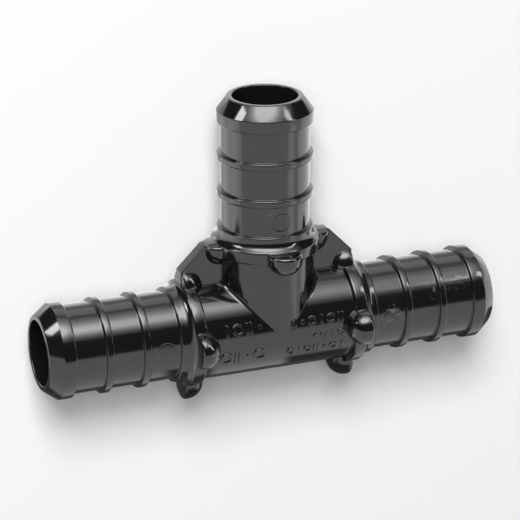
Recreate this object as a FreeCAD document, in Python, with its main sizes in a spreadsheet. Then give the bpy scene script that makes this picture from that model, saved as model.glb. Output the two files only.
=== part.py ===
import FreeCAD, Part
import Sketcher
import math
import os
import re

# A moulded plastic tee for crimped PEX water tube. It is one solid: three equal barbed legs on a common
# body, a waterway through all of them, two flat webs between the legs, and round-nosed lugs that stop
# the crimp ring. The run lies along X, the branch points along +Y, and +Z is the lettered front side.
# The origin is the point where the axes of the legs cross. Lengths are in millimetres.

# Driving sizes
# Lengths along a leg are given from one feature to the next, starting at the crossing of the axes.
SIZES = {
    "bore_radius": 4.1,  # waterway
    "nose_width": 0.65,  # flat ring round the mouth of the waterway
    "rib_radius": 6.05,  # ribs and land, just inside a half-inch tube
    "rib_height": 0.475,  # ribs above the barrel between them
    "body_reach": 9.937,  # crossing of the axes to the flange
    "flange_length": 1.42,
    "flange_rise": 0.76,  # flange above the ribs
    "flange_step": 0.61,  # flange above the body
    "flare_hollow": 1.0,  # radius of the hollow between the third rib and the flange
    "flare_angle": 65,  # degrees that the hollow turns through before it meets the flange's bead
    "last_rib_width": 0.7,  # third rib, up to where it flares out
    "rib_pitch": 4.79,
    "rib_width": 0.95,
    "lead_length": 7.07,  # face of the first rib to the nose
    "land_length": 1.57,
    "bevel_length": 1.7,  # lead-in cone that spreads the tube
    "web_thickness": 1.8,
    "web_inset": 0.1,  # web edge, set back from the flange's crest
    "web_chamfer": 3.2,
    "lug_radius": 2.2,  # half of the lug's breadth and the radius of its dome
    "lug_run": 0.65,  # straight part of the lug, between its flat side and its round one
    "lug_round": 0.4,  # edge of the flat side
    "lug_rise": 0.65,  # middle of a lug's dome above the body
    "web_lug_rise": 0.1,  # the same on the lugs that stand on a web
    "lug_inset": 0.2,  # flat side of the lug, set back from the flange's crest
    "mitre_round": 0.8,  # where the legs of the body meet
    "lip_round": 0.25,
    "edge_break": 0.12,  # small bevel on the edges of the ribs and on the flange's body side
}
COUNTS = {"leg_count": 3, "rib_count": 3}

# Radii and places along a leg, worked out from the sizes above
LIP_RADIUS = "(bore_radius + nose_width)"
BARREL_RADIUS = "(rib_radius - rib_height)"
FLANGE_RADIUS = "(rib_radius + flange_rise)"
BODY_RADIUS = f"({FLANGE_RADIUS} - flange_step)"
HOLLOW_RISE = "(flare_hollow * (1 - cos(flare_angle * 1 deg)))"
BEAD_RADIUS = f"((flange_rise - {HOLLOW_RISE}) / (1 - cos(flare_angle * 1 deg)))"
FLANGE_FRONT = "(body_reach + flange_length)"
CREST = f"({FLANGE_FRONT} + {BEAD_RADIUS} * sin(flare_angle * 1 deg))"
FLARE_START = f"({CREST} + flare_hollow * sin(flare_angle * 1 deg))"
LAST_RIB = f"({FLARE_START} + last_rib_width)"
FIRST_RIB = f"({LAST_RIB} + (rib_count - 1) * rib_pitch)"
NOSE = f"({FIRST_RIB} + lead_length)"
LAND_FRONT = f"({NOSE} - bevel_length)"
LAND_BACK = f"({LAND_FRONT} - land_length)"
WEB_REACH = f"({CREST} - web_inset)"
LUG_FLAT = f"({CREST} - lug_inset)"
LUG_EDGE = f"({LUG_FLAT} - lug_round)"
LUG_TURN = f"({LUG_FLAT} - lug_run)"
LUG_NOSE = f"({LUG_TURN} - lug_radius)"
LUG_CENTRE = f"({BODY_RADIUS} + lug_rise)"
WEB_LUG_CENTRE = f"({BODY_RADIUS} + web_lug_rise)"

ALIAS = re.compile(r"\b(" + "|".join([*SIZES, *COUNTS]) + r")\b")
TOUCH = 1e-4


def make_sheet(doc):
    """Puts every size in a named cell of a spreadsheet."""
    sheet = doc.addObject("Spreadsheet::Sheet", "Sizes")
    for row, (name, number) in enumerate({**SIZES, **COUNTS}.items(), start=1):
        sheet.set(f"A{row}", name)
        sheet.set(f"B{row}", str(number))
        sheet.setAlias(f"B{row}", name)
    doc.recompute()
    return sheet


def tied(text):
    """Turns a formula of size names into one that reads the sheet's cells."""
    return ALIAS.sub(r"Sizes.\1", text)


def number(doc, text):
    """Gives the present value of a formula of size names."""
    return float(doc.Sizes.evalExpression(tied(text)))


def bind(feature, **formulas):
    """Ties properties of a feature to formulas of size names."""
    for name, text in formulas.items():
        feature.setExpression(name, tied(text))


def base_plane(body, role):
    """Finds one of the body's own origin planes or axes."""
    return next(item for item in body.Origin.OriginFeatures if item.Role == role)


def new_sketch(body, name, plane):
    """Starts a sketch on one of the body's origin planes."""
    sketch = body.newObject("Sketcher::SketchObject", name)
    sketch.AttachmentSupport = [(base_plane(body, plane), "")]
    sketch.MapMode = "FlatFace"
    return sketch


def fix_point(sketch, edge, end, across, along):
    """Holds one end of a sketch edge at a place given by two formulas."""
    for kind, text in (("DistanceX", across), ("DistanceY", along)):
        if text == "0":
            axis = -2 if kind == "DistanceX" else -1
            sketch.addConstraint(Sketcher.Constraint("PointOnObject", edge, end, axis))
            continue
        distance = number(sketch.Document, text)
        place = sketch.addConstraint(Sketcher.Constraint(kind, -1, 1, edge, end, distance))
        sketch.setExpression(f"Constraints[{place}]", tied(text))


def arc_through(start, finish, radius, centre_left):
    """Gives the arc of a radius from start to finish, and whether it runs anticlockwise."""
    chord = finish - start
    rise = math.sqrt(max(radius**2 - (chord.Length / 2) ** 2, 0))
    left = FreeCAD.Vector(-chord.y, chord.x, 0).normalize()
    centre = (start + finish) / 2 + left * (rise if centre_left else -rise)
    first, last = (start, finish) if centre_left else (finish, start)
    angles = [math.atan2(point.y - centre.y, point.x - centre.x) for point in (first, last)]
    circle = Part.Circle(centre, FreeCAD.Vector(0, 0, 1), radius)
    return Part.ArcOfCircle(circle, angles[0], angles[1]), centre_left


def draw_outline(sketch, corners, arcs=None):
    """Draws a closed outline. Corners are pairs of formulas, and arcs gives, for the edge that leaves a
    corner, the formula of its radius and whether its centre lies to the left."""
    arcs = arcs or {}
    doc = sketch.Document
    points = [FreeCAD.Vector(number(doc, across), number(doc, along), 0) for across, along in corners]
    ends = []
    for index, start in enumerate(points):
        finish = points[(index + 1) % len(points)]
        if index in arcs:
            radius, centre_left = arcs[index]
            curve, forward = arc_through(start, finish, number(doc, radius), centre_left)
            edge = sketch.addGeometry(curve, False)
            ends.append((edge, 1, 2) if forward else (edge, 2, 1))
        else:
            edge = sketch.addGeometry(Part.LineSegment(start, finish), False)
            ends.append((edge, 1, 2))
    for index, (edge, _, last) in enumerate(ends):
        following, first, _ = ends[(index + 1) % len(ends)]
        sketch.addConstraint(Sketcher.Constraint("Coincident", edge, last, following, first))
    for (edge, first, _), (across, along) in zip(ends, corners):
        fix_point(sketch, edge, first, across, along)
    for index, (radius, _) in arcs.items():
        edge = ends[index][0]
        place = sketch.addConstraint(Sketcher.Constraint("Radius", edge, number(doc, radius)))
        sketch.setExpression(f"Constraints[{place}]", tied(radius))


def rib_faces(rib):
    """Gives the places of a rib's face towards the nose and of its face towards the body."""
    front = f"({FIRST_RIB} - {rib} * rib_pitch)"
    return front, f"({front} - rib_width)"


def leg_outline():
    """Gives the half section of one leg, from the axis round the nose and back to the crossing."""
    corners = [("0", "0"), (NOSE, "0"), (NOSE, LIP_RADIUS), (LAND_FRONT, "rib_radius")]
    corners += [(LAND_BACK, "rib_radius"), (LAND_BACK, BARREL_RADIUS)]
    for rib in range(COUNTS["rib_count"] - 1):
        front, back = rib_faces(rib)
        corners += [(front, BARREL_RADIUS), (front, "rib_radius")]
        corners += [(back, "rib_radius"), (back, BARREL_RADIUS)]
    corners += [(LAST_RIB, BARREL_RADIUS), (LAST_RIB, "rib_radius"), (FLARE_START, "rib_radius")]
    hollow = len(corners) - 1
    corners += [(CREST, f"(rib_radius + {HOLLOW_RISE})"), (FLANGE_FRONT, FLANGE_RADIUS)]
    corners += [("body_reach", FLANGE_RADIUS), ("body_reach", BODY_RADIUS), ("0", BODY_RADIUS)]
    return corners, {hollow: ("flare_hollow", False), hollow + 1: (BEAD_RADIUS, True)}


def add_legs(body):
    """Turns one leg about X and repeats it round Z, so that two legs make the run and one the branch."""
    sketch = new_sketch(body, "Leg_section", "XY_Plane")
    draw_outline(sketch, *leg_outline())
    leg = body.newObject("PartDesign::Revolution", "Leg")
    leg.Profile = sketch
    leg.ReferenceAxis = (sketch, ["H_Axis"])
    leg.Angle = 360
    legs = body.newObject("PartDesign::PolarPattern", "Legs")
    legs.Originals = [leg]
    legs.Axis = (base_plane(body, "Z_Axis"), [""])
    legs.Angle = 180
    bind(legs, Occurrences="leg_count")
    body.Tip = legs
    body.Document.recompute()


def dress_edges(body, kind, name, wanted, **sizes):
    """Rounds or bevels every edge of the present solid that the test picks out."""
    base = body.Tip
    picked = [f"Edge{place}" for place, edge in enumerate(base.Shape.Edges, start=1) if wanted(edge)]
    dressing = body.newObject(kind, name)
    dressing.Base = (base, picked)
    bind(dressing, **sizes)
    body.Document.recompute()


def on_ring(doc, places, ring_radius):
    """Makes a test for the circular edges of every leg that lie at the given places along a leg."""
    ring = number(doc, ring_radius)
    reaches = [number(doc, place) for place in places]

    def wanted(edge):
        if not isinstance(edge.Curve, Part.Circle) or abs(edge.Curve.Radius - ring) > TOUCH:
            return False
        return any(abs(edge.Curve.Center.Length - reach) < TOUCH for reach in reaches)

    return wanted


def dress_legs(body):
    """Takes the sharpness off the ribs, the foot of the flange and the nose on every leg."""
    doc = body.Document
    ribs = [LAND_FRONT, LAND_BACK, LAST_RIB]
    for rib in range(COUNTS["rib_count"] - 1):
        ribs += rib_faces(rib)
    bevel, fillet = "PartDesign::Chamfer", "PartDesign::Fillet"
    dress_edges(body, bevel, "Rib_bevels", on_ring(doc, ribs, "rib_radius"), Size="edge_break")
    dress_edges(body, bevel, "Foot_bevels", on_ring(doc, ["body_reach"], FLANGE_RADIUS), Size="edge_break")
    dress_edges(body, fillet, "Lip_rounds", on_ring(doc, [NOSE], LIP_RADIUS), Radius="lip_round")


def dress_mitres(body):
    """Rounds the corners where the branch meets the run."""
    reach = number(body.Document, BODY_RADIUS)

    def wanted(edge):
        box = edge.BoundBox
        curved = isinstance(edge.Curve, Part.Ellipse)
        return curved and box.YMin > -TOUCH and box.YMax < reach + TOUCH

    dress_edges(body, "PartDesign::Fillet", "Mitre_rounds", wanted, Radius="mitre_round")


def add_webs(body):
    """Stands a flat web in each corner between the branch and the run."""
    sketch = new_sketch(body, "Web_outline", "XY_Plane")
    cut = f"({WEB_REACH} - web_chamfer)"
    draw_outline(sketch, [("0", "0"), (WEB_REACH, "0"), (WEB_REACH, cut), (cut, WEB_REACH), ("0", WEB_REACH)])
    web = body.newObject("PartDesign::Pad", "Web")
    web.Profile = sketch
    web.SideType = "Symmetric"
    bind(web, Length="web_thickness")
    webs = body.newObject("PartDesign::Mirrored", "Webs")
    webs.Originals = [web]
    webs.MirrorPlane = (base_plane(body, "YZ_Plane"), [""])
    body.Tip = webs
    body.Document.recompute()


def add_lug(body, name, towards, centre):
    """Sets one lug on the leg along +X: a stem from the leg's axis, flat towards the nose and round towards
    the body, with a domed end of the same outline."""
    plan_plane, section_plane = ("XY_Plane", "XZ_Plane") if towards == "+Z" else ("XZ_Plane", "XY_Plane")
    plan = new_sketch(body, f"{name}_plan", plan_plane)
    edge, nose = ("lug_round", True), ("lug_radius", True)
    corners = [(LUG_FLAT, "(lug_round - lug_radius)"), (LUG_FLAT, "(lug_radius - lug_round)")]
    corners += [(LUG_EDGE, "lug_radius"), (LUG_TURN, "lug_radius"), (LUG_NOSE, "0")]
    corners += [(LUG_TURN, "-lug_radius"), (LUG_EDGE, "-lug_radius")]
    draw_outline(plan, corners, {1: edge, 3: nose, 4: nose, 6: edge})
    stem = body.newObject("PartDesign::Pad", f"{name}_stem")
    stem.Profile = plan
    stem.Reversed = towards == "+Y"
    bind(stem, Length=centre)
    section = new_sketch(body, f"{name}_dome_section", section_plane)
    sign = "-" if towards == "-Y" else ""
    tip = f"{sign}({centre} + lug_radius)"
    corners = [(LUG_FLAT, f"{sign}{centre}"), (LUG_FLAT, f"{sign}({centre} + lug_radius - lug_round)")]
    corners += [(LUG_EDGE, tip), (LUG_TURN, tip), (LUG_NOSE, f"{sign}{centre}")]
    draw_outline(section, corners, {1: ("lug_round", not sign), 3: ("lug_radius", not sign)})
    dome = body.newObject("PartDesign::Revolution", f"{name}_dome")
    dome.Profile = section
    dome.ReferenceAxis = (section, ["Edge5"])
    dome.Angle = 360
    return [stem, dome]


def repeat(body, name, originals, steps):
    """Repeats features by turns and mirrors, each given as a role, and for a turn its angle and count."""
    many = body.newObject("PartDesign::MultiTransform", name)
    many.Originals = originals
    chain = []
    for role, angle, count in steps:
        if angle:
            step = body.newObject("PartDesign::PolarPattern", f"{name}_turn")
            step.Axis = (base_plane(body, role), [""])
            step.Angle = angle
            bind(step, Occurrences=count)
        else:
            step = body.newObject("PartDesign::Mirrored", f"{name}_mirror")
            step.MirrorPlane = (base_plane(body, role), [""])
        chain.append(step)
    many.Transformations = chain
    body.Tip = many
    body.Document.recompute()


def add_lugs(body):
    """Sets four lugs round the body side of each flange. Those on the webs stand lower."""
    front = add_lug(body, "Lug", "+Z", LUG_CENTRE)
    repeat(body, "Lugs", front, [("XY_Plane", 0, ""), ("Z_Axis", 180, "leg_count")])
    inner = add_lug(body, "Web_lug", "+Y", WEB_LUG_CENTRE)
    repeat(body, "Web_lugs", inner, [("Z_Axis", 90, "2"), ("YZ_Plane", 0, "")])
    feet = add_lug(body, "Foot", "-Y", LUG_CENTRE)
    repeat(body, "Feet", feet, [("YZ_Plane", 0, "")])


def cut_waterway(body):
    """Bores the run from end to end and the branch from the crossing to its nose."""
    for name, plane, side in (("Run_bore", "YZ_Plane", "Symmetric"), ("Branch_bore", "XZ_Plane", "One side")):
        sketch = new_sketch(body, f"{name}_circle", plane)
        radius = number(body.Document, "bore_radius")
        circle = sketch.addGeometry(Part.Circle(FreeCAD.Vector(), FreeCAD.Vector(0, 0, 1), radius), False)
        sketch.addConstraint(Sketcher.Constraint("Coincident", circle, 3, -1, 1))
        place = sketch.addConstraint(Sketcher.Constraint("Radius", circle, radius))
        sketch.setExpression(f"Constraints[{place}]", tied("bore_radius"))
        bore = body.newObject("PartDesign::Pocket", name)
        bore.Profile = sketch
        bore.SideType = side
        bind(bore, Length=f"2 * {NOSE}")
    body.Document.recompute()


def main():
    doc = FreeCAD.newDocument("crimp_tee")
    make_sheet(doc)
    body = doc.addObject("PartDesign::Body", "tee_body")
    body.Label = "tee_body"
    add_legs(body)
    dress_legs(body)
    dress_mitres(body)
    add_webs(body)
    add_lugs(body)
    cut_waterway(body)
    for item in doc.Objects:
        if {"Invalid", "Error"} & set(item.State):
            raise RuntimeError(f"{item.Name} failed: {item.State}")
    if body.Shape.isNull() or not body.Shape.isValid():
        raise RuntimeError("tee_body has no valid solid")
    os.makedirs("parts", exist_ok=True)
    body.Shape.exportStep(f"parts/{body.Label}.step")
    print(len(body.Shape.Solids), "solid", len(body.Shape.Faces), "faces", round(body.Shape.Volume, 1), "mm3")


main()
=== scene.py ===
import bmesh
import bpy
import logging
import math
from dataclasses import dataclass, field
from enum import Enum
from mathutils import Matrix, Quaternion, Vector


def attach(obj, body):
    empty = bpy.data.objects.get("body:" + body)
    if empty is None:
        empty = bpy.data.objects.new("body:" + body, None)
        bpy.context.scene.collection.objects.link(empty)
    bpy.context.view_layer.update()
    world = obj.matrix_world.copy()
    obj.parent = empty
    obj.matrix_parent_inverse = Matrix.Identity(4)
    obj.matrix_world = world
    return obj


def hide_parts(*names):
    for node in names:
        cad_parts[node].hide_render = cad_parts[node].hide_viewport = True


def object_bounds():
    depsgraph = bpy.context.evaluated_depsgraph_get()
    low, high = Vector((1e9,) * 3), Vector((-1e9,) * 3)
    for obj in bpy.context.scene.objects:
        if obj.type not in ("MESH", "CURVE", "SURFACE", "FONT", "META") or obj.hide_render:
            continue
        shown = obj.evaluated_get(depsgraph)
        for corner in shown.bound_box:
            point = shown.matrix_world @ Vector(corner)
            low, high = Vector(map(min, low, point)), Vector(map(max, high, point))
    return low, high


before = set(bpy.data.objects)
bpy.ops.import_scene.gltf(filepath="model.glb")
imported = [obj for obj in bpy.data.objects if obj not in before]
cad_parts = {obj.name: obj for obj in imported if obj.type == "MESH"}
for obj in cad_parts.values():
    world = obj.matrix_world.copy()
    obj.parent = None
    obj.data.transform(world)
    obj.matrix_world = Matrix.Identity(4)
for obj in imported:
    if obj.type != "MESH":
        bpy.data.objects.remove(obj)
CAD_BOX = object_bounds()

# A glossy black moulded tee for half-inch PEX tube, lying on the lugs of its back. The run is along X,
# the branch points along +Y and the face with the raised marks looks up, along +Z. Lengths are in metres.

LOG = logging.getLogger("crimp_tee")
MM = 0.001
FULL_TURN = 2 * math.pi
MERGE_DISTANCE = 0.002 * MM
CUT_SLACK = 1e-9
BEVEL_WEIGHT = "bevel_weight_edge"
WHITE = (1, 1, 1, 1)

# An arc of an outline has a facet for each 15 degrees of its turn, and three at least.
ARC_STEP = 15
LEAST_ARC_STEPS = 3

# The Mix node's sockets go by number, because its numbers and its colours have the same names.
MIX_FACTOR = 0
MIX_FIRST = 6
MIX_SECOND = 7
MIX_COLOUR = 2


class Leg(Enum):
    """The three legs, each with the turn about Z that brings the leg along +X to it, in degrees."""

    RIGHT = 0
    BRANCH = 90
    LEFT = 180

    def matrix(self) -> Matrix:
        """Gives the turn that brings the leg along +X to this one."""
        return Matrix.Rotation(math.radians(self.value), 4, "Z")

    def mitres(self) -> list[Vector]:
        """Gives the directions, away from the leg, of the planes through the crossing where it ends."""
        slants = {
            Leg.RIGHT: [(-1, 1, 0)],
            Leg.BRANCH: [(1, -1, 0), (-1, -1, 0)],
            Leg.LEFT: [(1, 1, 0)],
        }
        return [Vector(slant) for slant in slants[self]]


class Side(Enum):
    """The sides of a leg, each with the turn about the leg's axis that brings +Z to it, in degrees."""

    FRONT = 0
    COUNTER = 90
    BACK = 180
    CLOCKWISE = 270

    def matrix(self) -> Matrix:
        """Gives the turn about the leg's axis that brings the front to this side."""
        return Matrix.Rotation(math.radians(self.value), 4, "X")


@dataclass(frozen=True)
class Corner:
    """One corner of a turned outline: its place along the leg, its distance from the axis, its rounding."""

    along: float
    out: float
    radius: float = 0.0

    def point(self) -> Vector:
        """Gives the corner's place in the plane of the leg's axis."""
        return Vector((self.along, self.out, 0))


class Moulding:
    """Common ways of making the closed forms that the moulding is put together from."""

    def only(self, items: list, kind: type) -> list:
        """Picks the vertices, the edges or the faces out of what an operator gives back."""
        return [item for item in items if isinstance(item, kind)]

    def open_edges(self, bm: bmesh.types.BMesh) -> list[bmesh.types.BMEdge]:
        """Finds the edges that have a face on one side only."""
        return [edge for edge in bm.edges if len(edge.link_faces) == 1]

    def bevel(self, bm: bmesh.types.BMesh, geom: list, offset: float, segments: int, affect: str) -> None:
        """Rounds corners or edges.

        Args:
            bm: The mesh.
            geom: The vertices or the edges to round.
            offset: How far from them the rounding starts.
            segments: How many facets it has.
            affect: VERTICES or EDGES.
        """
        bmesh.ops.bevel(
            bm,
            geom=geom,
            offset=offset,
            offset_type="OFFSET",
            segments=segments,
            profile=0.5,
            affect=affect,
            material=-1,
            clamp_overlap=False,
        )

    def corner_run(self, bm: bmesh.types.BMesh, corners: list[Corner]) -> None:
        """Draws an open outline through the corners and rounds those that have a radius.

        Args:
            bm: The mesh that takes the outline.
            corners: The corners in order.
        """
        verts = [bm.verts.new(corner.point()) for corner in corners]
        for first, second in zip(verts, verts[1:]):
            bm.edges.new((first, second))
        for before, here, after, vert in zip(corners, corners[1:], corners[2:], verts[1:]):
            if here.radius:
                turn = (here.point() - before.point()).angle(after.point() - here.point())
                segments = max(LEAST_ARC_STEPS, round(math.degrees(turn) / ARC_STEP))
                self.bevel(bm, [vert], here.radius * math.tan(turn / 2), segments, "VERTICES")

    def turn_outline(self, bm: bmesh.types.BMesh, steps: int) -> None:
        """Spins everything in the mesh a full turn about X."""
        geom = bm.verts[:] + bm.edges[:]
        bmesh.ops.spin(
            bm, geom=geom, cent=(0, 0, 0), axis=(1, 0, 0), angle=FULL_TURN, steps=steps, use_merge=True
        )
        bmesh.ops.remove_doubles(bm, verts=bm.verts[:], dist=MERGE_DISTANCE)

    def merge_into(self, target: bmesh.types.BMesh, part: bmesh.types.BMesh, place: Matrix) -> None:
        """Adds a finished form to another mesh at a place, and frees it.

        Args:
            target: The mesh that takes the form.
            part: The form, closed and with its faces outwards.
            place: Where it goes.
        """
        bmesh.ops.transform(part, matrix=place, verts=part.verts[:])
        spare = bpy.data.meshes.new("spare")
        part.to_mesh(spare)
        part.free()
        target.from_mesh(spare)
        bpy.data.meshes.remove(spare)


@dataclass
class Spigots(Moulding):
    """The three barbed legs with their flanges, the round body that they leave, and the waterway. The nose
    is measured from the crossing and the first rib from the nose, and sizes across a leg are radii."""

    nose: float = 29.9 * MM
    bore: float = 4.1 * MM
    lip: float = 4.75 * MM
    bevel_length: float = 1.7 * MM
    rib: float = 6.05 * MM
    land_length: float = 1.57 * MM
    barrel: float = 5.575 * MM
    rib_first: float = 7.07 * MM
    rib_pitch: float = 4.79 * MM
    rib_width: float = 0.95 * MM
    rib_count: int = 3
    last_rib_width: float = 0.7 * MM
    flare_hollow: float = 1.0 * MM
    flare_angle: float = math.radians(65)
    flange: float = 6.81 * MM
    flange_length: float = 1.42 * MM
    body: float = 6.2 * MM
    mitre_round: float = 0.8 * MM
    mitre_steps: int = 6
    edge_round: float = 0.12 * MM
    lip_round: float = 0.25 * MM
    rib_round: float = 0.2 * MM
    flange_round: float = 0.3 * MM
    root_round: float = 0.1 * MM
    steps: int = 144

    def rib_front(self, index: int) -> float:
        """Gives the place along the leg of a rib's face towards the nose."""
        return self.nose - self.rib_first - index * self.rib_pitch

    def flare_start(self) -> float:
        """Gives the place where the last rib starts to flare out to the flange."""
        return self.rib_front(self.rib_count - 1) - self.last_rib_width

    def crest(self) -> float:
        """Gives the place where the hollow of the flare passes into the bead of the flange."""
        return self.flare_start() - self.flare_hollow * math.sin(self.flare_angle)

    def bead(self) -> float:
        """Gives the radius of the bead between the flare and the flange."""
        fall = 1 - math.cos(self.flare_angle)
        return (self.flange - self.rib - self.flare_hollow * fall) / fall

    def flange_back(self) -> float:
        """Gives the place of the flange's face towards the body."""
        return self.crest() - self.bead() * math.sin(self.flare_angle) - self.flange_length

    def outline(self) -> list[Corner]:
        """Gives the half section of a leg, from the crossing along the bore, round the nose and back."""
        land_front = self.nose - self.bevel_length
        land_back = land_front - self.land_length
        small, root, rib_round = self.edge_round, self.root_round, self.rib_round
        corners = [
            Corner(0, self.bore),
            Corner(self.nose, self.bore, small),
            Corner(self.nose, self.lip, self.lip_round),
            Corner(land_front, self.rib, small),
            Corner(land_back, self.rib, rib_round),
            Corner(land_back, self.barrel, root),
        ]
        for index in range(self.rib_count - 1):
            front = self.rib_front(index)
            back = front - self.rib_width
            corners += [Corner(front, self.barrel, root), Corner(front, self.rib, rib_round)]
            corners += [Corner(back, self.rib, rib_round), Corner(back, self.barrel, root)]
        last = self.rib_front(self.rib_count - 1)
        hollow = self.flare_start() - self.flare_hollow * math.tan(self.flare_angle / 2)
        slope = (self.flange - self.rib) / math.tan(self.flare_angle)
        corners += [
            Corner(last, self.barrel, root),
            Corner(last, self.rib, rib_round),
            Corner(hollow, self.rib, self.flare_hollow),
            Corner(hollow - slope, self.flange, self.bead()),
            Corner(self.flange_back(), self.flange, self.flange_round),
            Corner(self.flange_back(), self.body, root),
            Corner(0, self.body),
        ]
        return corners

    def cut_away(self, bm: bmesh.types.BMesh, outward: Vector) -> None:
        """Cuts the mesh by a plane through the crossing and drops what lies outward of it."""
        bmesh.ops.bisect_plane(
            bm,
            geom=bm.verts[:] + bm.edges[:] + bm.faces[:],
            dist=CUT_SLACK,
            plane_co=(0, 0, 0),
            plane_no=outward,
            clear_outer=True,
            clear_inner=False,
        )

    def mitre_edges(self, bm: bmesh.types.BMesh) -> list[bmesh.types.BMEdge]:
        """Finds the edges of the outer surface where the branch meets the run."""

        def on_mitre(vert: bmesh.types.BMVert) -> bool:
            """Tells whether a vertex lies on both the body's round and a mitre's plane."""
            across = abs(vert.co.x) - vert.co.y
            above = math.hypot(vert.co.y, vert.co.z) - self.body
            return abs(across) < MERGE_DISTANCE and abs(above) < MERGE_DISTANCE

        return [edge for edge in bm.edges if all(on_mitre(vert) for vert in edge.verts)]

    def build(self, target: bmesh.types.BMesh) -> None:
        """Turns the legs, cuts them to meet at mitres and joins them. Each edge of the outer mitre gets a
        weight for the bevel that rounds it, which fades out fast where the legs run into each other.

        Args:
            target: The mesh that takes the joined legs.
        """
        joined = bmesh.new()
        for leg in Leg:
            turned = bmesh.new()
            self.corner_run(turned, self.outline())
            self.turn_outline(turned, self.steps)
            bmesh.ops.transform(turned, matrix=leg.matrix(), verts=turned.verts[:])
            for outward in leg.mitres():
                self.cut_away(turned, outward)
            self.merge_into(joined, turned, Matrix())
        bmesh.ops.remove_doubles(joined, verts=joined.verts[:], dist=MERGE_DISTANCE)
        bmesh.ops.recalc_face_normals(joined, faces=joined.faces[:])
        weight = joined.edges.layers.float.new(BEVEL_WEIGHT)
        for edge in self.mitre_edges(joined):
            edge[weight] = math.tan(edge.calc_face_angle(0) / 2) ** 2
        LOG.info("legs: %d faces, %d open edges", len(joined.faces), len(self.open_edges(joined)))
        self.merge_into(target, joined, Matrix())


@dataclass
class Webs(Moulding):
    """The two flat webs in the corners between the branch and the run."""

    legs: Spigots
    thickness: float = 1.8 * MM
    inset: float = 0.1 * MM
    chamfer: float = 3.2 * MM
    sunk: float = 1.0 * MM
    edge_round: float = 0.15 * MM
    edge_steps: int = 3

    def build(self, target: bmesh.types.BMesh) -> None:
        """Makes the same web twice, and turns the second one to the other corner.

        Args:
            target: The mesh that takes the webs.
        """
        near = self.legs.body - self.sunk
        far = self.legs.crest() - self.inset
        cut = far - self.chamfer
        outline = [(near, near), (far, near), (far, cut), (cut, far), (near, far)]
        for corner in (Leg.RIGHT, Leg.BRANCH):
            web = bmesh.new()
            verts = [web.verts.new((x, y, -self.thickness / 2)) for x, y in outline]
            face = bmesh.ops.contextual_create(web, geom=verts)["faces"][0]
            raised = bmesh.ops.extrude_face_region(web, geom=[face], use_keep_orig=True)["geom"]
            tops = self.only(raised, bmesh.types.BMVert)
            bmesh.ops.translate(web, vec=(0, 0, self.thickness), verts=tops)
            self.bevel(web, web.edges[:], self.edge_round, self.edge_steps, "EDGES")
            bmesh.ops.recalc_face_normals(web, faces=web.faces[:])
            self.merge_into(target, web, corner.matrix())


@dataclass
class Lugs(Moulding):
    """The round-nosed lugs on the body side of each flange, flat towards the nose of the leg."""

    legs: Spigots
    radius: float = 2.2 * MM
    length: float = 2.85 * MM
    rise: float = 0.65 * MM
    web_rise: float = 0.1 * MM
    inset: float = 0.2 * MM
    sunk: float = 1.3 * MM
    rim_round: float = 0.4 * MM
    steps: int = 24

    def lug(self, rise: float) -> bmesh.types.BMesh:
        """Makes a lug of the leg along +X that points along +Z: a dome turned about a line along the leg,
        whose foot goes straight down into the body.

        Args:
            rise: How far the middle of its dome stands above the body.

        Returns:
            The lug as a closed mesh.
        """
        bm = bmesh.new()
        corners = [
            Corner(-self.length, 0),
            Corner(-self.length, self.radius, self.radius),
            Corner(0, self.radius, self.rim_round),
            Corner(0, 0),
        ]
        self.corner_run(bm, corners)
        geom = bm.verts[:] + bm.edges[:]
        bmesh.ops.spin(
            bm, geom=geom, cent=(0, 0, 0), axis=(1, 0, 0), angle=math.pi, steps=self.steps, use_merge=False
        )
        bmesh.ops.remove_doubles(bm, verts=bm.verts[:], dist=MERGE_DISTANCE)
        stem = bmesh.ops.extrude_edge_only(bm, edges=self.open_edges(bm))["geom"]
        foot = self.only(stem, bmesh.types.BMVert)
        bmesh.ops.translate(bm, vec=(0, 0, -(rise + self.sunk)), verts=foot)
        bmesh.ops.contextual_create(bm, geom=self.only(stem, bmesh.types.BMEdge))
        bmesh.ops.recalc_face_normals(bm, faces=bm.faces[:])
        place = Vector((self.legs.crest() - self.inset, 0, self.legs.body + rise))
        bmesh.ops.translate(bm, vec=place, verts=bm.verts[:])
        return bm

    def build(self, target: bmesh.types.BMesh) -> None:
        """Sets four lugs on each leg. Those on the edge of a web stand lower.

        Args:
            target: The mesh that takes the lugs.
        """
        for leg in Leg:
            for side in Side:
                place = leg.matrix() @ side.matrix()
                points = place.to_3x3() @ Vector((0, 0, 1))
                beside = side in (Side.COUNTER, Side.CLOCKWISE)
                on_web = beside and (leg is Leg.BRANCH or points.y > 0)
                self.merge_into(target, self.lug(self.web_rise if on_web else self.rise), place)


class MarkShape(Enum):
    """The plain shapes of the raised marks."""

    BAR = "bar"
    RING = "ring"
    PAIR = "pair"
    STUD = "stud"


@dataclass(frozen=True)
class MarkRow:
    """A row of raised marks along the run: where it starts and ends, how far up round the body its middle
    lies, the height of its marks and how many there are."""

    start: float
    end: float
    up: float
    height: float
    count: int

    def places(self) -> list[float]:
        """Gives the places of the marks along the run, evenly spaced."""
        step = (self.end - self.start) / (self.count - 1)
        return [self.start + step * index for index in range(self.count)]


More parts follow.
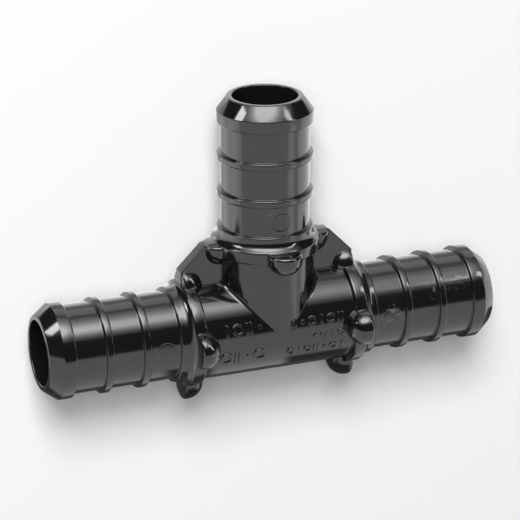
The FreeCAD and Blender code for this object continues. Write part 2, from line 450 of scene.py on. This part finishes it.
@dataclass
class RaisedMarks(Moulding):
    """Plain raised bars, rings and studs on the front of the run's body, in rows."""

    legs: Spigots
    proud: float = 0.18 * MM
    sunk: float = 0.2 * MM
    stroke: float = 0.26 * MM
    edge_round: float = 0.05 * MM
    edge_steps: int = 2
    steps: int = 32
    order: tuple = (MarkShape.BAR, MarkShape.RING, MarkShape.PAIR, MarkShape.STUD, MarkShape.RING)
    rows: tuple = (
        MarkRow(-7.3 * MM, -3.0 * MM, 1.8 * MM, 1.5 * MM, 4),
        MarkRow(-7.4 * MM, -3.0 * MM, -1.9 * MM, 1.7 * MM, 4),
        MarkRow(1.5 * MM, 7.9 * MM, 1.6 * MM, 1.2 * MM, 6),
        MarkRow(4.4 * MM, 7.9 * MM, -0.4 * MM, 1.0 * MM, 4),
        MarkRow(1.2 * MM, 8.1 * MM, -2.3 * MM, 1.1 * MM, 7),
    )

    def bar(self, height: float, shift: float) -> bmesh.types.BMesh:
        """Makes a bar across the run whose middle lies off the mark's own middle.

        Args:
            height: Its size round the body.
            shift: How far along the run its middle lies from the mark's.

        Returns:
            The bar, whose foot is sunk below the XY plane.
        """
        bm = bmesh.new()
        bmesh.ops.create_cube(bm, size=1)
        bmesh.ops.scale(bm, vec=(self.stroke, height, self.proud + self.sunk), verts=bm.verts[:])
        bmesh.ops.translate(bm, vec=(shift, 0, (self.proud - self.sunk) / 2), verts=bm.verts[:])
        self.bevel(bm, bm.edges[:], self.edge_round, self.edge_steps, "EDGES")
        return bm

    def ring(self, outer: float, inner: float) -> bmesh.types.BMesh:
        """Makes a flat ring, or a round stud where the inner radius is 0.

        Args:
            outer: Its outer radius.
            inner: Its inner radius.

        Returns:
            The ring, whose foot is sunk below the XY plane.
        """
        bm = bmesh.new()
        rim = Corner(self.proud, outer, self.edge_round)
        foot = Corner(-self.sunk, outer)
        if inner:
            corners = [Corner(-self.sunk, inner), Corner(self.proud, inner, self.edge_round), rim, foot]
        else:
            corners = [Corner(self.proud, 0), rim, foot]
        self.corner_run(bm, corners)
        self.turn_outline(bm, self.steps)
        bmesh.ops.holes_fill(bm, edges=self.open_edges(bm))
        bmesh.ops.recalc_face_normals(bm, faces=bm.faces[:])
        upright = Matrix.Rotation(-FULL_TURN / 4, 3, "Y")
        bmesh.ops.rotate(bm, cent=(0, 0, 0), matrix=upright, verts=bm.verts[:])
        return bm

    def shapes(self, shape: MarkShape, height: float) -> list[bmesh.types.BMesh]:
        """Makes the closed forms of one mark.

        Args:
            shape: The shape of the mark.
            height: Its height.

        Returns:
            Its forms, whose feet are sunk below the XY plane.
        """
        if shape is MarkShape.BAR:
            return [self.bar(height, 0)]
        if shape is MarkShape.PAIR:
            return [self.bar(height, side * self.stroke) for side in (-1, 1)]
        if shape is MarkShape.RING:
            return [self.ring(height / 2, height / 2 - self.stroke)]
        return [self.ring(self.stroke, 0)]

    def build(self, target: bmesh.types.BMesh) -> None:
        """Stands the marks on the body.

        Args:
            target: The mesh that takes the marks.
        """
        body = self.legs.body
        for start, row in enumerate(self.rows):
            turn = Matrix.Rotation(-row.up / body, 4, "X")
            for index, along in enumerate(row.places()):
                shape = self.order[(start + index) % len(self.order)]
                for form in self.shapes(shape, row.height):
                    self.merge_into(target, form, turn @ Matrix.Translation((along, 0, body)))


class Value:
    """A number or a place that a shader works out. Python's operators on a number add Math nodes."""

    def __init__(self, nodes: "ShaderNodes", socket: bpy.types.NodeSocket) -> None:
        """Wraps a socket of a node tree."""
        self.nodes = nodes
        self.socket = socket

    def _math(self, operation: str, *values: "Value | float") -> "Value":
        """Adds a Math node on the values."""
        return self.nodes.add("ShaderNodeMath", {"operation": operation}, dict(enumerate(values)))

    def __add__(self, other: "Value | float") -> "Value":
        """Adds."""
        return self._math("ADD", self, other)

    __radd__ = __add__

    def __sub__(self, other: "Value | float") -> "Value":
        """Subtracts."""
        return self._math("SUBTRACT", self, other)

    def __rsub__(self, other: "Value | float") -> "Value":
        """Subtracts this from a number."""
        return self._math("SUBTRACT", other, self)

    def __mul__(self, other: "Value | float") -> "Value":
        """Multiplies."""
        return self._math("MULTIPLY", self, other)

    __rmul__ = __mul__

    def __abs__(self) -> "Value":
        """Takes the sign away."""
        return self._math("ABSOLUTE", self)

    def ramp(self, low: float, high: float) -> "Value":
        """Gives 0 at the low value, 1 at the high one and a smooth rise between them."""
        settings = {"interpolation_type": "SMOOTHSTEP", "clamp": True}
        limits = {"Value": self, "From Min": low, "From Max": high}
        return self.nodes.add("ShaderNodeMapRange", settings, limits)

    def distance(self, point: tuple | Vector) -> "Value":
        """Gives how far this place is from a point."""
        return self.nodes.add("ShaderNodeVectorMath", {"operation": "DISTANCE"}, {0: self, 1: point}, "Value")


class ShaderNodes:
    """A node tree, with one method that adds any node."""

    def __init__(self, tree: bpy.types.NodeTree) -> None:
        """Empties a node tree."""
        self.tree = tree
        tree.nodes.clear()

    def add(self, kind: str, settings: dict, sockets: dict, output: int | str = 0) -> Value | None:
        """Adds a node of any type.

        Args:
            kind: The node's type.
            settings: Properties of the node, set first.
            sockets: Values or links of its input sockets, by name or index.
            output: The output that is wanted.

        Returns:
            The wanted output, or None from a node that has none.
        """
        node = self.tree.nodes.new(kind)
        for name, setting in settings.items():
            setattr(node, name, setting)
        for name, value in sockets.items():
            if isinstance(value, Value):
                self.tree.links.new(value.socket, node.inputs[name])
            else:
                node.inputs[name].default_value = value
        return Value(self, node.outputs[output]) if node.outputs else None


def new_material(name: str) -> tuple[bpy.types.Material, ShaderNodes]:
    """Starts a material whose nodes are still to come."""
    material = bpy.data.materials.new(name)
    material.use_nodes = True
    return material, ShaderNodes(material.node_tree)


def new_object(name: str, bm: bmesh.types.BMesh, material: bpy.types.Material) -> bpy.types.Object:
    """Makes an object of a finished mesh and puts it in the scene.

    Args:
        name: The name of the object and of its mesh.
        bm: The finished mesh, which is freed.
        material: What it is made of.

    Returns:
        The object.
    """
    mesh = bpy.data.meshes.new(name)
    bm.to_mesh(mesh)
    bm.free()
    mesh.materials.append(material)
    made = bpy.data.objects.new(name, mesh)
    bpy.context.scene.collection.objects.link(made)
    return made


@dataclass(frozen=True)
class Noise:
    """A cloudy pattern: its scale per metre, its detail and how far it is distorted."""

    scale: float
    detail: float
    distortion: float = 0.0

    def spread(self, nodes: ShaderNodes, place: Value) -> Value:
        """Gives the pattern's value at a place."""
        sockets = {"Vector": place, "Scale": self.scale, "Detail": self.detail, "Distortion": self.distortion}
        return nodes.add("ShaderNodeTexNoise", {}, sockets)


@dataclass(frozen=True)
class Scuff:
    """A scuffed patch of the surface: its middle, its reach and how strongly it shows."""

    place: tuple
    reach: float
    strength: float


@dataclass(frozen=True)
class GlossBlackPlastic:
    """Black moulded plastic with a gloss that handling has dulled a little: the faint rings that the ejector
    pins left, some scuffed patches and a few specks of dust. The heights and depths of its relief are in
    millimetres, and each range gives where a pattern starts to show and where it shows in full."""

    colour: tuple = (0.006, 0.006, 0.0062, 1)
    scuffed_colour: tuple = (0.16, 0.16, 0.155, 1)
    roughness: float = 0.1
    ior: float = 1.7
    blend_radius: float = 0.1 * MM
    blend_samples: int = 8
    cloud: Noise = Noise(160, 4)
    cloud_range: tuple = (0.35, 0.75)
    cloud_roughness: float = 0.06
    waves: Noise = Noise(260, 2)
    wave_height: float = 0.006
    grain: Noise = Noise(2600, 2)
    grain_height: float = 0.0025
    pin_along: float = 15.1 * MM
    pin_out: float = 5.575 * MM
    pin_radius: float = 1.15 * MM
    pin_line: float = 0.13 * MM
    pin_line_depth: float = 0.03
    pin_disc_depth: float = 0.01
    pin_disc_roughness: float = 0.12
    mottle: Noise = Noise(1700, 6, 0.4)
    mottle_range: tuple = (0.5, 0.68)
    scuff_core: float = 0.2
    scuff_tint: float = 0.5
    scuff_roughness: float = 0.25
    scuff_height: float = 0.012
    scuffs: tuple = (
        Scuff((15.4 * MM, 0.5 * MM, 5.5 * MM), 2.1 * MM, 1.0),
        Scuff((21.4 * MM, 2.4 * MM, 5.0 * MM), 1.1 * MM, 0.9),
        Scuff((24.6 * MM, 3.4 * MM, 4.4 * MM), 2.4 * MM, 0.4),
        Scuff((22.6 * MM, 3.7 * MM, 4.2 * MM), 1.6 * MM, 0.35),
        Scuff((18.3 * MM, 2.8 * MM, 5.2 * MM), 0.9 * MM, 0.8),
        Scuff((-20.6 * MM, -0.9 * MM, 5.5 * MM), 1.4 * MM, 0.25),
        Scuff((-10.5 * MM, 0.6 * MM, 6.3 * MM), 1.4 * MM, 0.6),
        Scuff((-1.1 * MM, 16.6 * MM, 5.5 * MM), 1.3 * MM, 0.6),
    )
    speck_scale: float = 700
    speck_range: tuple = (0.02, 0.05)
    speck_choice: Noise = Noise(350, 1)
    speck_choice_range: tuple = (0.6, 0.66)
    speck_tint: float = 0.6

    def pin_rings(self, place: Value) -> tuple[Value, Value]:
        """Gives where the lines of the ejector pins' rings run, and where the discs in them lie."""
        lines, discs = [], []
        for leg in Leg:
            away = place.distance(leg.matrix() @ Vector((self.pin_along, 0, self.pin_out)))
            lines.append(1 - abs(away - self.pin_radius).ramp(0, self.pin_line))
            discs.append(1 - away.ramp(self.pin_radius - self.pin_line, self.pin_radius))
        return sum(lines), sum(discs)

    def scuff_mask(self, nodes: ShaderNodes, place: Value) -> Value:
        """Gives how scuffed the surface is, from 0 to 1: a fine mottling that fades out round each patch."""
        patches = []
        for scuff in self.scuffs:
            fade = place.distance(scuff.place).ramp(scuff.reach * self.scuff_core, scuff.reach)
            patches.append((1 - fade) * scuff.strength)
        return self.mottle.spread(nodes, place).ramp(*self.mottle_range) * sum(patches)

    def specks(self, nodes: ShaderNodes, place: Value) -> Value:
        """Gives 1 on a few specks of dust and 0 elsewhere."""
        cells = {"Vector": place, "Scale": self.speck_scale}
        away = nodes.add("ShaderNodeTexVoronoi", {}, cells, "Distance")
        chosen = self.speck_choice.spread(nodes, place).ramp(*self.speck_choice_range)
        return (1 - away.ramp(*self.speck_range)) * chosen

    def make(self) -> bpy.types.Material:
        """Makes the finish.

        Returns:
            The material.
        """
        material, nodes = new_material("black_plastic")
        place = nodes.add("ShaderNodeTexCoord", {}, {}, "Object")
        lines, discs = self.pin_rings(place)
        scuffs = self.scuff_mask(nodes, place)
        tint = scuffs * self.scuff_tint + self.specks(nodes, place) * self.speck_tint
        colours = {MIX_FACTOR: tint, MIX_FIRST: self.colour, MIX_SECOND: self.scuffed_colour}
        colour = nodes.add("ShaderNodeMix", {"data_type": "RGBA"}, colours, MIX_COLOUR)
        cloud = self.cloud.spread(nodes, place).ramp(*self.cloud_range) * self.cloud_roughness
        marked = discs * self.pin_disc_roughness + scuffs * self.scuff_roughness
        waves = self.waves.spread(nodes, place) * self.wave_height
        grain = self.grain.spread(nodes, place) * self.grain_height
        sunk = lines * self.pin_line_depth + discs * self.pin_disc_depth
        height = waves + grain - sunk + scuffs * self.scuff_height
        soft = nodes.add("ShaderNodeBevel", {"samples": self.blend_samples}, {"Radius": self.blend_radius})
        relief = {"Strength": 1, "Distance": MM, "Height": height, "Normal": soft}
        surface = {
            "Base Color": colour,
            "Roughness": cloud + marked + self.roughness,
            "IOR": self.ior,
            "Normal": nodes.add("ShaderNodeBump", {}, relief),
        }
        shader = nodes.add("ShaderNodeBsdfPrincipled", {}, surface)
        nodes.add("ShaderNodeOutputMaterial", {}, {"Surface": shader})
        return material


@dataclass
class Tee:
    """The whole moulding, one piece. Its edges stay sharp where they turn by more than the crease."""

    legs: Spigots = field(default_factory=Spigots)
    finish: GlossBlackPlastic = field(default_factory=GlossBlackPlastic)
    crease: float = math.radians(40)

    def build(self) -> bpy.types.Object:
        """Builds the moulding and puts it in the place of the plain solid.

        Returns:
            The finished piece.
        """
        bm = bmesh.new()
        for maker in (self.legs, Webs(self.legs), Lugs(self.legs), RaisedMarks(self.legs)):
            maker.build(bm)
            LOG.info("%s: %d faces so far", type(maker).__name__, len(bm.faces))
        for face in bm.faces:
            face.smooth = True
        for edge in bm.edges:
            edge.smooth = edge.calc_face_angle(0) < self.crease
        piece = new_object("moulded_tee", bm, self.finish.make())
        mitres = piece.modifiers.new("mitre_rounds", "BEVEL")
        mitres.limit_method = "WEIGHT"
        mitres.offset_type = "OFFSET"
        mitres.width = self.legs.mitre_round
        mitres.segments = self.legs.mitre_steps
        mitres.use_clamp_overlap = False
        even = piece.modifiers.new("even_normals", "WEIGHTED_NORMAL")
        even.keep_sharp = True
        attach(piece, "root")
        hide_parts("tee_body")
        return piece


@dataclass(frozen=True)
class Card:
    """A lit panel of the studio: its middle, its size, the brightness of its face, the place that it looks
    at, its roll about that line, whether it is oval, and whether it shows in gloss and lights the floor."""

    name: str
    place: tuple
    width: float
    height: float
    brightness: float
    towards: tuple = (0, 0, 0)
    roll: float = 0.0
    oval: bool = False
    mirrored: bool = True
    lights_floor: bool = False

    def build(self) -> None:
        """Sets up the panel as an area lamp whose face has the wanted brightness."""
        lamp = bpy.data.lights.new(self.name, "AREA")
        lamp.shape = "ELLIPSE" if self.oval else "RECTANGLE"
        lamp.size = self.width
        lamp.size_y = self.height
        area = self.width * self.height * (math.pi / 4 if self.oval else 1)
        lamp.energy = self.brightness * math.pi * area
        panel = bpy.data.objects.new(self.name, lamp)
        bpy.context.scene.collection.objects.link(panel)
        panel.location = self.place
        aim = Vector(self.towards) - Vector(self.place)
        turn = aim.to_track_quat("-Z", "Y") @ Quaternion((0, 0, 1), self.roll)
        panel.rotation_euler = turn.to_euler()
        panel.visible_camera = False
        panel.visible_glossy = self.mirrored
        panel.visible_diffuse = self.lights_floor


@dataclass(frozen=True)
class ShadePanel:
    """A dark panel of painted shadow across the Y axis, on the far side of the run from the branch, that only
    the tee's gloss shows, in place of the tee's own shadow under it: its place along Y, its ends along X, its
    sides along Z, how soft they are and how much it glows."""

    name: str
    level: float
    left: float
    right: float
    back: float
    front: float
    blur: float = 2 * MM
    glow: float = 0.12

    def between(self, place: Value, low: float, high: float) -> Value:
        """Gives 1 between two places and 0 outside them, with a soft rise and fall."""
        return place.ramp(low, low + self.blur) * (1 - place.ramp(high - self.blur, high))

    def cover(self, nodes: ShaderNodes) -> Value:
        """Gives 1 on the panel and 0 past its soft sides."""
        place = nodes.add("ShaderNodeTexCoord", {}, {}, "Object")
        along = nodes.add("ShaderNodeSeparateXYZ", {}, {"Vector": place}, "X")
        across = nodes.add("ShaderNodeSeparateXYZ", {}, {"Vector": place}, "Z")
        return self.between(along, self.left, self.right) * self.between(across, self.back, self.front)

    def build(self) -> None:
        """Sets up the panel as a flat mesh."""
        material, nodes = new_material(self.name)
        clear = nodes.add("ShaderNodeBsdfTransparent", {}, {})
        # Painted shadow: where the panel covers, it shows a faint dark glow for the gloss to reflect, and
        # elsewhere it is clear.
        dark = nodes.add("ShaderNodeEmission", {}, {"Strength": self.glow})
        shader = nodes.add("ShaderNodeMixShader", {}, {0: self.cover(nodes), 1: clear, 2: dark})
        nodes.add("ShaderNodeOutputMaterial", {}, {"Surface": shader})
        left, right, back, front = self.left, self.right, self.back, self.front
        sides = ((left, back), (right, back), (right, front), (left, front))
        bm = bmesh.new()
        bm.faces.new([bm.verts.new((x, self.level, z)) for x, z in sides])
        panel = new_object(self.name, bm, material)
        panel.visible_camera = False
        panel.visible_diffuse = False
        panel.visible_transmission = False
        panel.visible_shadow = False


@dataclass(frozen=True)
class Softbox:
    """The oval softbox beyond the branch's nose, which is brightest in its middle: ovals that add up, one
    behind another. Each step gives how far an oval spreads and how much it adds."""

    place: tuple = (-0.063, 0.42, 0.189)
    width: float = 0.462
    height: float = 0.352
    gap: float = 0.01
    steps: tuple = ((0.74, 2.3), (0.92, 1.8), (1.1, 0.9), (1.3, 0.8), (1.6, 0.7), (2.1, 0.5))

    def build(self) -> None:
        """Hangs the ovals, the smallest nearest to the tee."""
        x, y, z = self.place
        for index, (spread, brightness) in enumerate(self.steps):
            far = y + index * self.gap
            share = spread * (far / y)
            width, height = self.width * share, self.height * share
            name = f"softbox_{index + 1}"
            Card(name, (x, far, z), width, height, brightness, towards=(x, 0, z), oval=True).build()


@dataclass
class Studio:
    """The floor, the world, the lit panels, the panels of painted shadow, and the camera."""

    floor_size: float = 3.0
    floor_colour: tuple = (0.93, 0.93, 0.93, 1)
    sweep_lean: tuple = (0, 1, 0.268)
    sweep_edge: float = 0.125
    sweep_blur: float = 0.04
    dim_strength: float = 0.02
    white_strength: float = 1.0
    fill: float = 0.1
    azimuth: float = math.radians(21.294)
    elevation: float = math.radians(21.181)
    distance: float = 318.8 * MM
    aim: tuple = (0.434 * MM, 7.065 * MM, -2.768 * MM)
    lens: float = 173.7
    sensor_width: float = 36
    clip_start: float = 10 * MM
    softbox: Softbox = Softbox()
    cards: tuple = (
        Card("right_low_card", (0.19, -0.07, 0.165), 0.05, 0.08, 0.6),
        Card("left_low_card", (-0.227, -0.07, -0.061), 0.08, 0.08, 0.3),
        Card("backdrop_low_card", (0.215, -0.06, -0.56), 1.15, 0.36, 0.55, towards=(0, -0.06, 0)),
        Card("backdrop_card", (0.215, 0.68, -0.56), 1.05, 1.0, 1.1, towards=(0, 0.68, 0)),
        Card("left_strip", (-0.462, 0.42, -0.04), 0.19, 0.17, 9.5),
        Card("left_side_card", (-0.494, -0.215, -0.263), 0.56, 0.75, 0.6),
        Card("right_side_card", (0.552, -0.17, -0.15), 0.5, 0.7, 0.6),
        Card("right_card", (0.305, 0.42, 0.26), 0.1, 0.1, 6.5),
        Card("right_strip", (0.383, 0.258, 0.299), 0.04, 0.27, 10.0, roll=1.23),
        Card("key", (-0.332, 0.78, 0.85), 0.4, 0.4, 24.5, mirrored=False, lights_floor=True),
        Card("front_fill", (-0.406, 0.434, 1.042), 0.4, 0.4, 10.0, mirrored=False, lights_floor=True),
    )
    # Painted shadow: dark panels that only the gloss shows, in place of the tee's own shadow under the run
    # and round its feet.
    shade_panels: tuple = (
        ShadePanel("shade", -9.6 * MM, -48 * MM, 48 * MM, -26 * MM, 3 * MM, blur=2.2 * MM),
        ShadePanel("left_foot_shade", -9.5 * MM, -14 * MM, -6 * MM, -8 * MM, 7 * MM),
        ShadePanel("right_foot_shade", -9.5 * MM, 2 * MM, 13 * MM, -8 * MM, 7 * MM),
    )

    def build_floor(self) -> None:
        """Lays the pale floor under the lugs that the tee rests on."""
        material, nodes = new_material("floor")
        shader = nodes.add("ShaderNodeBsdfDiffuse", {}, {"Color": self.floor_colour})
        nodes.add("ShaderNodeOutputMaterial", {}, {"Surface": shader})
        lowest = CAD_BOX[0][2]
        bm = bmesh.new()
        bmesh.ops.create_grid(bm, x_segments=1, y_segments=1, size=self.floor_size / 2)
        bmesh.ops.translate(bm, vec=(0, 0, lowest), verts=bm.verts[:])
        floor = new_object("floor", bm, material)
        floor.visible_glossy = False

    def build_world(self) -> None:
        """Hangs the white sweep that the tee's gloss shows: it covers all that is below a slanting edge, and
        above that the studio is dim. The camera sees white all round."""
        world = bpy.data.worlds.new("studio")
        bpy.context.scene.world = world
        world.use_nodes = True
        world.cycles.sampling_method = "NONE"
        nodes = ShaderNodes(world.node_tree)
        aim = nodes.add("ShaderNodeTexCoord", {}, {}, "Generated")
        lean = {0: aim, 1: self.sweep_lean}
        height = nodes.add("ShaderNodeVectorMath", {"operation": "DOT_PRODUCT"}, lean, "Value")
        sweep = 1 - height.ramp(self.sweep_edge - self.sweep_blur, self.sweep_edge + self.sweep_blur)
        seen = nodes.add("ShaderNodeLightPath", {}, {}, "Is Camera Ray")
        mirrored = nodes.add("ShaderNodeLightPath", {}, {}, "Is Glossy Ray")
        refracted = nodes.add("ShaderNodeLightPath", {}, {}, "Is Transmission Ray")
        scattered = nodes.add("ShaderNodeLightPath", {}, {}, "Is Diffuse Ray")
        share = seen + (mirrored + refracted) * sweep + scattered * self.fill
        dim = nodes.add("ShaderNodeBackground", {}, {"Color": WHITE, "Strength": self.dim_strength})
        white = nodes.add("ShaderNodeBackground", {}, {"Color": WHITE, "Strength": self.white_strength})
        light = nodes.add("ShaderNodeMixShader", {}, {0: share, 1: dim, 2: white})
        nodes.add("ShaderNodeOutputWorld", {}, {"Surface": light})

    def build_camera(self) -> None:
        """Places the camera at the photograph's angle to the tee, which here looks down on it."""
        sine, cosine = math.sin(self.azimuth), math.cos(self.azimuth)
        rise, level = math.sin(self.elevation), math.cos(self.elevation)
        away = Vector((-sine * level, rise, cosine * level))
        right = Vector((cosine, 0, sine))
        up = away.cross(right)
        camera = bpy.data.objects.new("camera", bpy.data.cameras.new("camera"))
        bpy.context.scene.collection.objects.link(camera)
        turn = Matrix((right, up, away)).transposed().to_4x4()
        camera.matrix_world = Matrix.Translation(Vector(self.aim) + away * self.distance) @ turn
        camera.data.lens = self.lens
        camera.data.sensor_width = self.sensor_width
        camera.data.clip_start = self.clip_start
        bpy.context.scene.camera = camera

    def build(self) -> None:
        """Builds everything round the tee."""
        self.build_floor()
        self.build_world()
        self.build_camera()
        for panel in (*self.shade_panels, self.softbox, *self.cards):
            panel.build()
        bpy.context.scene.view_settings.view_transform = "Standard"


def main() -> None:
    """Builds the tee and the studio."""
    logging.basicConfig(level=logging.INFO, format="%(message)s")
    piece = Tee().build()
    LOG.info("%s: %d faces", piece.name, len(piece.data.polygons))
    Studio().build()


if __name__ == "__main__":
    main()
